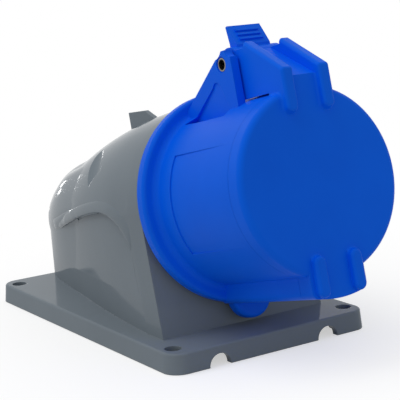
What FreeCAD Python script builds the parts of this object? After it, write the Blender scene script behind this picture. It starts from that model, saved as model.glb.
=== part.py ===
import FreeCAD, Part

import math
import os

import Sketcher

# Surface-mounting industrial socket outlet, 2P+E, with a sprung hinged lid.
# Frame: back of the base plate on Z = 0, +Z away from the wall, mouth towards -Y, X = 0 the mirror plane.
# The socket's own axis leans up from the wall. Its pieces are drawn in a frame of their own,
# with X sideways, Y up the flange and Z out along the axis, and are then placed as one.

SIZES = {
    # base plate
    "PlateWidth": 90.0,
    "PlateLength": 144.5,
    "PlateHeight": 7.6,
    "PlateCorner": 6.7,
    "PlateDraft": 4.0,
    "PlateEdge": 0.8,
    "FixingSide": 5.8,
    "FixingEnd": 8.6,
    "FixingBore": 3.1,
    "NotchRadius": 4.6,
    "NotchSide": 20.4,
    # hood and walls
    "Wall": 2.8,
    "HoodInset": 2.5,
    "HoodStraight": 12.0,
    "HoodBow": 312.0,
    "HoodFront": 3.9,
    "FootInset": 0.6,
    "FootTaper": 19.0,
    "FootBow": 800.0,
    "RearRound": 8.0,
    "PanelStep": 1.8,
    "PanelFront": 16.0,
    "PanelTail": 15.4,
    "FinFront": 42.1,
    "FinLength": 20.6,
    "FinThick": 2.2,
    "ScoopRadius": 9.0,
    "ScoopDepth": 3.8,
    # axis of the socket
    "Tilt": 12.874,
    "AxisSetback": 26.08,
    "AxisRise": 17.69,
    # carrier, collar and flange, from the inside out
    "BossRadius": 21.4,
    "CapEdge": 4.6,
    "CapThick": 10.1,
    "PortEdge": 6.6,
    "CarrierShoulder": 2.6,
    "GrooveWidth": 6.4,
    "CollarWall": 3.0,
    "CollarTaper": 0.6,
    "CollarEnd": 51.4,
    "LipWall": 1.2,
    "LipHeight": 3.0,
    "FlangeWidth": 6.3,
    "FlangeThick": 4.5,
    "FlangeStep": 1.9,
    "StepInset": 3.1,
    "RimRound": 1.5,
    "RootRound": 2.5,
    "LobeRadius": 8.6,
    "LobeInset": 2.0,
    "KeyDepth": 6.9,
    "KeyHalf": 8.6,
    "RidgeWall": 3.0,
    "RidgeSide": 3.2,
    "RidgeCorner": 2.5,
    "PadStart": 13.8,
    "PadAngle": 32.0,
    # hinge
    "PinRise": 13.1,
    "PinOut": 31.5,
    "PinRadius": 2.4,
    "PinWall": 0.5,
    "PinSink": 0.5,
    "EarThick": 3.2,
    "EarLean": 2.6,
    # lid
    "LidRise": 7.0,
    "LidPlate": 2.7,
    "LidRound": 2.2,
    "BlockHalf": 10.2,
    "RibWidth": 4.8,
    "RibProud": 2.7,
    "RibRound": 1.3,
    "RibEndRound": 2.1,
    "RibFoot": 1.0,
    "TabHalf": 7.2,
    "BarrelRadius": 5.7,
    "SpringRoom": 4.5,
    "CoilRadius": 3.35,
    "CoilHalf": 3.2,
    "WireRadius": 0.5,
    "LidLeg": 8.0,
    # contacts
    "CarrierSink": 5.4,
    "ContactInset": 6.9,
    "LinePin": 3.0,
    "EarthPin": 4.0,
    "SleeveWall": 1.3,
    "BarrelWall": 1.2,
    "BarrelLength": 14.0,
    "BarrelSink": 4.0,
    "SleeveSink": 0.3,
    "SleeveFloor": 4.0,
    "SlitDepth": 22.0,
    "SlitHalf": 0.4,
    "CellEdge": 0.9,
    "CellFloor": 8.0,
    "CarrierEdge": 1.0,
    "WireHole": 2.6,
    "ClampRadius": 2.0,
    "ClampProud": 1.8,
    "BandEdge": 0.75,
    "BandWidth": 3.0,
    # screws from behind: four in the flange and two that tie the cap to the carrier
    "ScrewInset": 3.0,
    "ScrewHole": 2.1,
    "PilotHole": 1.6,
    "PilotDepth": 5.5,
    "ScrewShank": 1.55,
    "ScrewHead": 2.9,
    "ScrewCrown": 2.2,
    "ScrewEnd": 3.2,
    "TieInset": 3.4,
    "TieHole": 1.8,
    "TiePilot": 1.5,
    "TieDepth": 14.0,
    "TieShank": 1.48,
    "TieHead": 3.0,
    "TieCrown": 2.0,
    "TieEnd": 9.5,
    # clearances
    "LidGap": 0.12,
    "LidClear": 0.8,
    "EarGap": 0.8,
    "RunningGap": 0.06,
    "SeatGap": 0.05,
    "SleeveGap": 0.02,
}

# sizes that follow from those above
LINKED = {
    "FixingAcross": "PlateWidth - 2 * FixingSide",
    "FixingAlong": "PlateLength - 2 * FixingEnd",
    "NotchOffset": "PlateWidth / 2 - NotchSide",
    "CapRadius": "BossRadius + CapEdge",
    "PortRadius": "BossRadius + PortEdge",
    "CarrierRadius": "BossRadius + CarrierShoulder",
    "ContactCircle": "BossRadius - ContactInset",
    "ScrewCircle": "PortRadius + ScrewInset",
    "CollarBore": "CarrierRadius + GrooveWidth",
    "CollarRadius": "CollarBore + CollarWall",
    "CollarRoot": "CollarRadius + CollarTaper",
    "LipRadius": "CollarBore + LipWall",
    "LipEnd": "CollarEnd + LipHeight",
    "CarrierFront": "CollarEnd - CarrierSink",
    "FlangeRadius": "CollarRadius + FlangeWidth",
    "StepRadius": "FlangeRadius - StepInset",
    "LobeDrop": "FlangeRadius - LobeInset",
    "KeyRadius": "CollarBore + KeyDepth",
    "RidgeRadius": "KeyRadius + RidgeWall",
    "RidgeHalf": "KeyHalf + RidgeSide",
    "HoodRadius": "FlangeRadius - HoodInset",
    "FootFront": "HoodRadius - FootInset",
    "FootRear": "FootFront - FootTaper",
    "AxisForward": "PlateLength / 2 - AxisSetback",
    "PanelRear": "(PlateLength / 2 + AxisForward) / cos(Tilt) - PanelTail",
    "AxisHeight": "HoodRadius + AxisRise",
    "PinUp": "CollarRadius + PinRise",
    "RibInner": "BlockHalf - RibWidth",
    "EarInner": "BlockHalf + EarGap",
    "EarOuter": "EarInner + EarThick",
    "LidFront": "CollarEnd + LidRise",
}

doc = FreeCAD.newDocument("wall_socket")
sheet = doc.addObject("Spreadsheet::Sheet", "Sizes")
for row, alias in enumerate([*SIZES, *LINKED], start=1):
    sheet.set("A%d" % row, alias)
    sheet.setAlias("B%d" % row, alias)
    sheet.set("B%d" % row, str(SIZES[alias]) if alias in SIZES else "=" + LINKED[alias])
doc.recompute()


class Size:
    """A number together with the sheet formula that gives it."""

    def __init__(self, value, formula):
        self.value = value
        self.formula = formula

    def __add__(self, other):
        other = as_size(other)
        return Size(self.value + other.value, "(%s + %s)" % (self.formula, other.formula))

    def __radd__(self, other):
        return as_size(other) + self

    def __sub__(self, other):
        other = as_size(other)
        return Size(self.value - other.value, "(%s - %s)" % (self.formula, other.formula))

    def __rsub__(self, other):
        return as_size(other) - self

    def __mul__(self, other):
        other = as_size(other)
        return Size(self.value * other.value, "(%s * %s)" % (self.formula, other.formula))

    def __rmul__(self, other):
        return as_size(other) * self

    def __truediv__(self, other):
        other = as_size(other)
        return Size(self.value / other.value, "(%s / %s)" % (self.formula, other.formula))

    def __neg__(self):
        return 0 - self


def as_size(number):
    """A plain number as a Size, and a Size as it is."""
    return number if isinstance(number, Size) else Size(float(number), "%.6g" % number)


def size(alias):
    """The driving dimension of that name."""
    return Size(float(sheet.get(alias)), "Sizes.%s" % alias)


def sine(angle):
    return Size(math.sin(math.radians(angle.value)), "sin(%s)" % angle.formula)


def cosine(angle):
    return Size(math.cos(math.radians(angle.value)), "cos(%s)" % angle.formula)


def root(number):
    return Size(math.sqrt(number.value), "sqrt(%s)" % number.formula)


def bind(thing, prop, amount):
    """Ties a property to the sheet."""
    thing.setExpression(prop, as_size(amount).formula)


TILT = size("Tilt")
AXIS_Y = -size("AxisForward")
AXIS_Z = size("AxisHeight")
X_AXIS = FreeCAD.Vector(1, 0, 0)
Z_AXIS = FreeCAD.Vector(0, 0, 1)
# reach of a cut that goes right through
BIG = 400
# angle of the spring's leg in the lid, seen along the pin from the rear
LEG_TURN = 121.9
COIL_TURNS = 5 + LEG_TURN / 360
# depths along the socket's axis of the ends of the inner pieces
CAP_FRONT = -size("FlangeStep")
CAP_REAR = CAP_FRONT - size("CapThick")
BARREL_REAR = CAP_REAR - size("BarrelLength")
BARREL_FRONT = CAP_REAR + size("BarrelSink")
SLEEVE_FRONT = size("CarrierFront") - size("SleeveSink")
# the two screws that hold cap and carrier together, as angles round the axis
TIE_ANGLES = (210, 330)
# wire clamps
CLAMP_DEPTH = BARREL_REAR + size("BarrelLength") / 2
# how far the hood is turned past its rear end before it is cut off there
HOOD_TAIL = 7


def on_axis(thing):
    """Places a piece drawn in the socket's own frame."""
    turn = FreeCAD.Rotation(X_AXIS, 90 - TILT.value)
    thing.Placement = FreeCAD.Placement(FreeCAD.Vector(0, AXIS_Y.value, AXIS_Z.value), turn)
    bind(thing, "Placement.Base.y", AXIS_Y)
    bind(thing, "Placement.Base.z", AXIS_Z)
    bind(thing, "Placement.Rotation.Angle", 90 - TILT)
    return thing


def body(label):
    return doc.addObject("PartDesign::Body", label)


def sketch(owner, plane="XY_Plane", base=(0, 0, 0), axis=Z_AXIS, angle=0):
    """A sketch on one of its body's own planes, shifted and turned within it."""
    made = owner.newObject("Sketcher::SketchObject", "Sketch")
    support = [part for part in owner.Origin.OriginFeatures if part.Role == plane][0]
    made.AttachmentSupport = (support, [""])
    made.MapMode = "FlatFace"
    base = [as_size(part) for part in base]
    angle = as_size(angle)
    shift = FreeCAD.Vector(*[part.value for part in base])
    made.AttachmentOffset = FreeCAD.Placement(shift, FreeCAD.Rotation(axis, angle.value))
    for name, part in zip("xyz", base):
        bind(made, "AttachmentOffset.Base.%s" % name, part)
    if angle.value:
        bind(made, "AttachmentOffset.Rotation.Angle", angle)
    return made


def constrain(made, *parts):
    """Adds one constraint and ties it to the sheet when its last part is a Size."""
    amount = parts[-1] if isinstance(parts[-1], Size) else None
    if amount is not None:
        parts = parts[:-1] + (amount.value,)
    index = made.addConstraint(Sketcher.Constraint(*parts))
    if amount is not None:
        made.setExpression("Constraints[%d]" % index, amount.formula)


def fix_point(made, curve, end, point):
    constrain(made, "DistanceX", -1, 1, curve, end, as_size(point[0]))
    constrain(made, "DistanceY", -1, 1, curve, end, as_size(point[1]))


def arc_through(start, end, radius):
    """The shorter arc between two points, turning left for a positive radius."""
    chord = end - start
    reach = math.sqrt(max(radius * radius - chord.Length ** 2 / 4, 0))
    side = FreeCAD.Vector(-chord.y, chord.x, 0).normalize() * math.copysign(reach, radius)
    centre = (start + end) * 0.5 + side
    circle = Part.Circle(centre, Z_AXIS, abs(radius))
    first = circle.parameter(start)
    last = circle.parameter(end)
    if radius < 0:
        first, last = last, first
    return Part.ArcOfCircle(circle, first, last)


def outline(made, points):
    """A closed outline. A point is (x, y), or (x, y, r) where an arc of radius r leaves it.
    The arc bulges to the right of its chord for a positive r and to the left for a negative one."""
    count = len(points)
    places = [FreeCAD.Vector(as_size(p[0]).value, as_size(p[1]).value, 0) for p in points]
    ends = []
    for i, point in enumerate(points):
        start, end = places[i], places[(i + 1) % count]
        if len(point) == 2:
            made.addGeometry(Part.LineSegment(start, end))
            ends.append((1, 2))
        else:
            radius = as_size(point[2])
            made.addGeometry(arc_through(start, end, radius.value))
            ends.append((1, 2) if radius.value > 0 else (2, 1))
    first = made.GeometryCount - count
    for i, point in enumerate(points):
        after = (i + 1) % count
        constrain(made, "Coincident", first + i, ends[i][1], first + after, ends[after][0])
        fix_point(made, first + i, ends[i][0], point)
        if len(point) == 3:
            radius = as_size(point[2])
            constrain(made, "Radius", first + i, radius if radius.value > 0 else -radius)
    return made


def circle(made, x, y, radius):
    """A full circle, held by its centre and radius."""
    x, y, radius = as_size(x), as_size(y), as_size(radius)
    centre = FreeCAD.Vector(x.value, y.value, 0)
    index = made.addGeometry(Part.Circle(centre, Z_AXIS, radius.value))
    fix_point(made, index, 3, (x, y))
    constrain(made, "Radius", index, radius)
    return made


def rectangle(made, x0, y0, x1, y1):
    return outline(made, [(x0, y0), (x1, y0), (x1, y1), (x0, y1)])


def feature(owner, kind, profile, **settings):
    """A PartDesign feature of one sketch, with its sizes tied to the sheet."""
    made = owner.newObject("PartDesign::%s" % kind, kind)
    made.Profile = profile
    for name, setting in settings.items():
        if isinstance(setting, Size):
            setattr(made, name, setting.value)
            bind(made, name, setting)
        else:
            setattr(made, name, setting)
    doc.recompute()
    return made


def pad(owner, profile, length, **settings):
    return feature(owner, "Pad", profile, Length=as_size(length), **settings)


def pocket(owner, profile, length, **settings):
    """A pocket that must take something away."""
    before = owner.Shape.Volume
    made = feature(owner, "Pocket", profile, Length=as_size(length), **settings)
    if owner.Shape.Volume > before - 1e-3:
        raise RuntimeError("a pocket in %s cuts nothing" % owner.Label)
    return made


def revolve(owner, kind, profile, angle=360.0, turn_back=False):
    """A turned feature about its sketch's upright axis."""
    axis = (profile, ["V_Axis"])
    return feature(owner, kind, profile, ReferenceAxis=axis, Angle=angle, Reversed=turn_back)


def loft(owner, profile, section):
    """A ruled loft between two sketches."""
    return feature(owner, "AdditiveLoft", profile, Sections=[section], Ruled=True)


def soften(owner, radius, wanted, kind="Fillet"):
    """Rounds or chamfers the edges of the body's shape so far that pass the test."""
    edges = owner.Tip.Shape.Edges
    names = ["Edge%d" % i for i, edge in enumerate(edges, start=1) if wanted(edge)]
    if not names:
        raise RuntimeError("no edge to soften in %s" % owner.Label)
    base = owner.Tip
    made = owner.newObject("PartDesign::%s" % kind, kind)
    made.Base = (base, names)
    amount = as_size(radius)
    prop = "Radius" if kind == "Fillet" else "Size"
    setattr(made, prop, amount.value)
    bind(made, prop, amount)
    doc.recompute()
    return made


def middle(edge):
    """The point half-way along an edge."""
    first, last = edge.ParameterRange
    return edge.valueAt((first + last) / 2)


def mirror_x(owner, features):
    """Repeats features on the other side of the mirror plane."""
    made = owner.newObject("PartDesign::Mirrored", "Mirrored")
    made.Originals = features
    plane = [part for part in owner.Origin.OriginFeatures if part.Role == "YZ_Plane"][0]
    made.MirrorPlane = (plane, [""])
    owner.Tip = made
    doc.recompute()
    return made


def boolean(kind, label, base, tool):
    """A Part::Cut, Part::Fuse or Part::Common of two objects."""
    made = doc.addObject("Part::%s" % kind, label)
    made.Base = base
    made.Tool = tool
    doc.recompute()
    return made


def upright_back(height):
    """How far towards -Y or +Y the plane square to the axis at a given depth lies, at that height."""
    return lambda depth: AXIS_Y + (depth + (height - AXIS_Z) * sine(TILT)) / cosine(TILT)


# Grey housing
REAR = size("PlateLength") / 2 - 0.05


def rear_depth(up):
    """Depth below the flange plane, along the axis, of the housing's rear end."""
    return (REAR - AXIS_Y + up * sine(TILT)) / cosine(TILT)


def hood_half(depth, inset):
    """Half width of the hood at a depth: straight at first and then bowed in."""
    past = depth - size("HoodStraight")
    bow = size("HoodBow")
    return size("HoodRadius") - inset - bow + root(bow * bow - past * past)


def hull(label, inset, foot_inset, foot_height, front, rear_gap):
    """Walls from the plate to the axis plane, and the turned hood above them."""
    owner = body(label)
    half_front = size("FootFront") - foot_inset
    half_rear = size("FootRear") - foot_inset
    front_y = upright_back(as_size(foot_height))(front)
    rear_y = REAR - rear_gap
    foot = outline(
        sketch(owner, base=(0, 0, foot_height)),
        [
            (-half_front, front_y),
            (half_front, front_y),
            (half_front, front_y + size("HoodStraight"), size("FootBow")),
            (half_rear, rear_y),
            (-half_rear, rear_y, size("FootBow")),
            (-half_front, front_y + size("HoodStraight")),
        ],
    )
    wide = size("HoodRadius") - inset
    rear = rear_depth(as_size(0)) - rear_gap / cosine(TILT)
    narrow = hood_half(rear, inset)
    axis_plane = sketch(owner, base=(0, AXIS_Y, AXIS_Z), axis=X_AXIS, angle=-TILT)
    top = outline(
        axis_plane,
        [
            (-wide, front),
            (wide, front),
            (wide, size("HoodStraight"), size("HoodBow")),
            (narrow, rear),
            (-narrow, rear, size("HoodBow")),
            (-wide, size("HoodStraight")),
        ],
    )
    loft(owner, foot, top)
    past = rear + HOOD_TAIL
    half_past = hood_half(past, inset)
    half_view = sketch(owner, base=(0, AXIS_Y, AXIS_Z), axis=X_AXIS, angle=-TILT)
    outline(
        half_view,
        [
            (0, front),
            (wide, front),
            (wide, size("HoodStraight"), size("HoodBow")),
            (half_past, past),
            (0, past),
        ],
    )
    revolve(owner, "Revolution", half_view, 180.0, True)
    tail = rectangle(sketch(owner, "XZ_Plane", base=(0, 0, -rear_y)), -BIG, -BIG, BIG, BIG)
    pocket(owner, tail, BIG, Reversed=False)
    return owner


def side_panel():
    """The region, seen from the side, in which the walls are set back below the hood."""
    owner = body("panel_profile")
    side = sketch(owner, "YZ_Plane", base=(AXIS_Y, AXIS_Z, 0), angle=-TILT)
    front = size("PanelFront")
    rear = size("PanelRear")
    outline(
        side,
        [
            (front, -BIG / 4),
            (rear, -BIG / 4),
            (rear, -2.4),
            (rear - 11, -0.8),
            (front + 48, 2.3),
            (front + 22, 2.7, 25),
            (front, -13.5),
        ],
    )
    pad(owner, side, BIG / 2, Midplane=True)
    return owner


def upright(edge):
    """Whether an edge runs along Z."""
    return abs(edge.tangentAt(edge.FirstParameter).z) > 0.9


def base_plate():
    """Plate with round corners and drafted edges."""
    owner = body("plate")
    half_x = size("PlateWidth") / 2
    half_y = size("PlateLength") / 2
    foot = rectangle(sketch(owner), -half_x, -half_y, half_x, half_y)
    pad(owner, foot, size("PlateHeight"), TaperAngle=-size("PlateDraft"))
    soften(owner, size("PlateCorner"), upright)
    soften(owner, size("PlateEdge"), lambda edge: middle(edge).z > size("PlateHeight").value - 0.01)
    return owner


def fin():
    """Thin lug on the crest of the hood."""
    owner = body("fin")
    side = sketch(owner, "YZ_Plane", base=(AXIS_Y, AXIS_Z, 0), angle=-TILT)
    front = size("FinFront")
    rear = front + size("FinLength")
    crest = size("HoodRadius")
    foot = crest - 7.2
    top = [(front, crest - 1), (front + 7.9, crest + 3.7), (rear, crest + 4.7)]
    outline(side, top + [(rear, foot), (front, foot)])
    pad(owner, side, size("FinThick"), Midplane=True)
    return owner


def scoop_tool():
    """Two leaning cylinders that cut the finger scoops into the sides of the hood."""
    reach = size("HoodRadius") - size("ScoopDepth")
    radius = size("ScoopRadius")
    start = FreeCAD.Vector(0.8973, 0.4415, 0)
    lean = FreeCAD.Vector(-0.519, 0.667, -0.535)
    out = FreeCAD.Vector(0.780, 0.624, 0.021)
    tools = []
    for side in (-1, 1):
        made = doc.addObject("Part::Cylinder", "scoop")
        bind(made, "Radius", radius)
        bind(made, "Height", size("HoodRadius") * 1.6)
        made.Placement.Rotation = FreeCAD.Rotation(Z_AXIS, FreeCAD.Vector(side * lean.x, lean.y, lean.z))
        bind(made, "Placement.Base.x", side * (reach * start.x + radius * out.x))
        bind(made, "Placement.Base.y", reach * start.y + radius * out.y)
        bind(made, "Placement.Base.z", radius * out.z - size("FinFront") - 5.4)
        tools.append(made)
    group = doc.addObject("Part::Compound", "scoops")
    group.Links = tools
    on_axis(group)
    doc.recompute()
    return group


def round_tool(label, places, radius, bottom, top, local=False):
    """Upright cylinders to cut with, one for each place."""
    tools = []
    for x, y in places:
        made = doc.addObject("Part::Cylinder", label)
        bind(made, "Radius", radius)
        bind(made, "Height", as_size(top) - bottom)
        made.Placement.Base = FreeCAD.Vector(as_size(x).value, as_size(y).value, as_size(bottom).value)
        bind(made, "Placement.Base.x", x)
        bind(made, "Placement.Base.y", y)
        bind(made, "Placement.Base.z", bottom)
        tools.append(made)
    group = doc.addObject("Part::Compound", label + "_group")
    group.Links = tools
    if local:
        on_axis(group)
    doc.recompute()
    return group


def fixing_places():
    half_x = size("FixingAcross") / 2
    half_y = size("FixingAlong") / 2
    return [(sx * half_x, sy * half_y) for sx in (-1, 1) for sy in (-1, 1)]


def flange_screw_places():
    """Four screws on a circle, clear of the hood's wall, in the socket's own frame."""
    reach = size("ScrewCircle") * math.sqrt(0.5)
    return [(sx * reach, sy * reach) for sx in (-1, 1) for sy in (-1, 1)]


def plate_notches():
    """Two half-round cable notches in the front edge of the plate."""
    owner = body("notches")
    face = sketch(owner, "XZ_Plane")
    for side in (-1, 1):
        circle(face, side * size("NotchOffset"), 0, size("NotchRadius"))
    pad(owner, face, size("PlateLength"))
    return owner


def plate_room(top):
    """Hollow under the plate, with the round bosses of the fixing holes left standing."""
    wall = size("Wall")
    owner = body("pan")
    half_x = size("PlateWidth") / 2 - wall
    half_y = size("PlateLength") / 2 - wall
    face = rectangle(sketch(owner, base=(0, 0, -1)), -half_x, -half_y, half_x, half_y)
    pad(owner, face, top - wall + 1)
    soften(owner, size("PlateCorner") - wall, upright)
    bosses = round_tool("fixing_boss", fixing_places(), size("FixingBore") + wall, -2, top)
    return boolean("Cut", "pan_room", owner, bosses)


def housing():
    """Base plate, hood and walls as one moulding, open at the back."""
    zero = as_size(0)
    wall = size("Wall")
    front = size("HoodFront")
    plate_top = size("PlateHeight")
    outer = hull("hood_outer", zero, zero, plate_top / 2, front, zero)
    soften(outer, size("RearRound"), rear_edge)
    core = hull("panel_core", size("PanelStep"), size("PanelStep") * -0.67, plate_top / 2, zero, -wall)
    panels = boolean("Cut", "panels", side_panel(), core)
    walls = boolean("Cut", "walls", outer, panels)
    walls = boolean("Cut", "scooped_walls", walls, scoop_tool())
    walls = boolean("Fuse", "walls_with_fin", walls, fin())
    solid = boolean("Fuse", "solid_housing", walls, base_plate())
    cavity = hull("cavity", wall, wall, as_size(-1), front + wall, wall)
    made = boolean("Cut", "hollow_housing", solid, cavity)
    made = boolean("Cut", "panned_housing", made, plate_room(plate_top))
    made = boolean("Cut", "notched_housing", made, plate_notches())
    bores = round_tool("fixing_bore", fixing_places(), size("FixingBore"), -2, plate_top + 2)
    made = boolean("Cut", "drilled_housing", made, bores)
    behind = -(front + 8)
    ahead = -front + 1
    port = round_tool("port", [(0, 0)], size("PortRadius"), behind, ahead, local=True)
    made = boolean("Cut", "ported_housing", made, port)
    holes = round_tool("screw_hole", flange_screw_places(), size("ScrewHole"), behind, ahead, local=True)
    return boolean("Cut", "housing", made, holes)


def rear_edge(edge):
    """The arched edge and the two upright ones round the rear face."""
    spots = [edge.valueAt(edge.FirstParameter), edge.valueAt(edge.LastParameter), middle(edge)]
    on_rear = all(abs(spot.y - REAR.value) < 1e-3 for spot in spots)
    flat = all(abs(spot.z - spots[0].z) < 1e-3 for spot in spots)
    return on_rear and not flat


def ring(owner, inner, outer, bottom, top):
    """A flat-ended ring or disc on the body's own axis."""
    face = circle(sketch(owner, base=(0, 0, bottom)), 0, 0, outer)
    if inner is not None:
        circle(face, 0, 0, inner)
    return pad(owner, face, as_size(top) - bottom)


def turned(owner, points, kind="Revolution"):
    """A full turn of a (radius, depth) outline about the body's own axis."""
    return revolve(owner, kind, outline(sketch(owner, "XZ_Plane"), points))


def side_profile(owner, points, half_width, inner=None):
    """A side view, (Y up the flange, Z out), spread evenly each side of the mirror plane,
    or from inner to half_width on both sides of it."""
    if inner is None:
        face = outline(sketch(owner, "YZ_Plane"), points)
        return pad(owner, face, as_size(half_width) * 2, Midplane=True)
    face = outline(sketch(owner, "YZ_Plane", base=(0, 0, inner)), points)
    one = pad(owner, face, as_size(half_width) - inner)
    return mirror_x(owner, [one])


def flange_gasket():
    """Rubber seal between the hood's front and the flange."""
    owner = on_axis(body("flange_gasket"))
    front = -size("FlangeStep")
    back = -size("HoodFront")
    ring(owner, size("PortRadius"), size("StepRadius"), back, front)
    face = sketch(owner, base=(0, 0, back))
    for x, y in flange_screw_places():
        circle(face, x, y, size("ScrewHole"))
    pocket(owner, face, size("HoodFront"), Reversed=True)
    return owner


def collar_pads(owner):
    """Two shallow cylindrical fields in the tapered collar, left and right."""
    radius = size("CollarRadius") + 0.05
    outer = size("CollarRoot") + 2
    angle = size("PadAngle")
    face = sketch(owner, base=(0, 0, size("PadStart")))
    for side in (-1, 1):
        near = (side * radius * cosine(angle), radius * sine(angle))
        far = (side * outer * cosine(angle), outer * sine(angle))
        low = [(near[0], -near[1]), (far[0], -far[1]), far, near]
        if side > 0:
            points = [low[0], low[1] + (outer,), low[2], low[3] + (-radius,)]
        else:
            points = [low[3], low[2] + (outer,), low[1], low[0] + (-radius,)]
        outline(face, points)
    pocket(owner, face, size("CollarEnd"), Reversed=True)


def ear_profile():
    """Side view of a hinge ear, from its rear foot up and round to its front foot."""
    up = size("PinUp")
    out = size("PinOut")
    hub = size("CollarRadius")
    flange = size("FlangeThick")
    return [
        (hub - 3.4, flange - 1),
        (hub - 3.4, out + 6.3),
        (up + 1.8, out + 6.3, 2.9),
        (up + 4.6, out + 3.4),
        (up + 4.6, out + 1.0, 5.6),
        (up + 2.2, out - 3.2),
        (hub + 4.0, flange + 5.6),
        (hub - 0.8, flange - 2),
    ]


def socket_body():
    """Flange with its lobe, collar, keyway ridge and hinge ears, in one moulding."""
    owner = on_axis(body("socket_body"))
    root_radius = size("CollarRoot")
    bend = size("RootRound")
    end = size("CollarEnd")
    flange = size("FlangeThick")
    back = -size("FlangeStep")
    turned(owner, [(0, back), (size("StepRadius"), back), (size("StepRadius"), 0),
                   (size("FlangeRadius"), 0), (size("FlangeRadius"), flange),
                   (root_radius + bend, flange, -bend), (root_radius, flange + bend),
                   (size("CollarRadius"), end), (size("LipRadius"), end),
                   (size("LipRadius"), size("LipEnd")), (0, size("LipEnd"))])
    lobe = circle(sketch(owner), 0, -size("LobeDrop"), size("LobeRadius"))
    pad(owner, lobe, flange)
    face = sketch(owner, base=(0, 0, 1))
    ridge = channel(face, size("RidgeHalf"), size("RidgeRadius"), size("RidgeCorner"))
    pad(owner, ridge, end - 1)
    collar_pads(owner)
    rims = (size("FlangeRadius").value, size("LobeRadius").value)
    soften(owner, size("RimRound"), lambda edge: any(on_circle(edge, r, flange.value) for r in rims))
    side_profile(owner, ear_profile(), size("EarOuter"), size("EarInner"))
    well = circle(sketch(owner, base=(0, 0, flange)), 0, 0, size("CollarBore"))
    pocket(owner, well, BIG, Reversed=True)
    keyway = channel(sketch(owner, base=(0, 0, flange)), size("KeyHalf"), size("KeyRadius"), as_size(1.0))
    pocket(owner, keyway, BIG, Reversed=True)
    seat = circle(sketch(owner, base=(0, 0, back)), 0, 0, size("BossRadius") + size("SeatGap"))
    pocket(owner, seat, BIG / 4, Reversed=True)
    pilots = sketch(owner, base=(0, 0, back))
    for x, y in flange_screw_places():
        circle(pilots, x, y, size("PilotHole"))
    pocket(owner, pilots, size("PilotDepth"), Reversed=True)
    ear_hollow(owner)
    pin_bore(owner, size("PinRadius"))
    return owner


def channel(face, half, radius, corner):
    """Outline that hangs from the collar: straight sides, rounded corners and a bowed bottom."""
    reach = half - corner
    bottom = root(radius * radius - reach * reach)
    side = bottom - corner
    return outline(face, [(-half, -20), (-half, -side, corner), (-reach, -bottom, radius),
                          (reach, -bottom, corner), (half, -side), (half, -20)])


def on_circle(edge, radius, height):
    """Whether an edge is an arc of that radius at that height in the socket's frame."""
    curve = edge.Curve
    if not isinstance(curve, Part.Circle):
        return False
    return abs(curve.Radius - radius) < 0.2 and abs(middle(edge).z - height) < 0.2


def ear_hollow(owner):
    """A three-cornered recess in the outer face of each ear, whose floor leans out
    until it meets the face near the ear's front, and a ring sunk round the pin."""
    up = size("PinUp")
    out = size("PinOut")
    hub = size("CollarRadius")
    points = [(hub - 5, -29.5), (hub - 5, -2), (up - 7.6, -6.8, -2.6), (up - 7.1, -11.7)]
    for side in (-1, 1):
        base = (0, out + 4, side * size("EarOuter"))
        face = sketch(owner, "YZ_Plane", base=base, axis=X_AXIS, angle=side * size("EarLean"))
        pocket(owner, outline(face, points), 5, Reversed=side > 0)
        ring_face = sketch(owner, "YZ_Plane", base=(0, 0, side * (size("EarOuter") - size("PinSink"))))
        pocket(owner, circle(ring_face, up, out, size("PinRadius") + size("PinSink")), 5, Reversed=side > 0)


def pin_bore(owner, radius):
    """The hinge pin's bore, right through along X."""
    face = circle(sketch(owner, "YZ_Plane"), size("PinUp"), size("PinOut"), radius)
    return pocket(owner, face, BIG, Midplane=True)


def hinge_pin():
    """Rolled steel pin."""
    owner = on_axis(body("hinge_pin"))
    face = sketch(owner, "YZ_Plane")
    circle(face, size("PinUp"), size("PinOut"), size("PinRadius"))
    circle(face, size("PinUp"), size("PinOut"), size("PinRadius") - size("PinWall"))
    pad(owner, face, (size("EarOuter") - 0.3) * 2, Midplane=True)
    return owner


def coil_point(turn):
    """Where the coil's wire is at an angle from the rear, seen along the pin: (up, out)."""
    angle = as_size(turn)
    reach = size("CoilRadius")
    return size("PinUp") + reach * sine(angle), size("PinOut") - reach * cosine(angle)


def wire_leg(label, side, turn, length, backwards, radius):
    """A straight end of the spring: starts just inside the coil and leaves it along its tangent."""
    owner = body(label)
    up, out = coil_point(turn)
    way = -1 if backwards else 1
    overlap = 0.3 * way
    up = up - overlap * cosine(as_size(turn))
    out = out - overlap * sine(as_size(turn))
    start = sketch(owner, base=(side, up, out), axis=X_AXIS, angle=turn - way * 90)
    circle(start, 0, 0, radius)
    pad(owner, start, length)
    return owner


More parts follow.
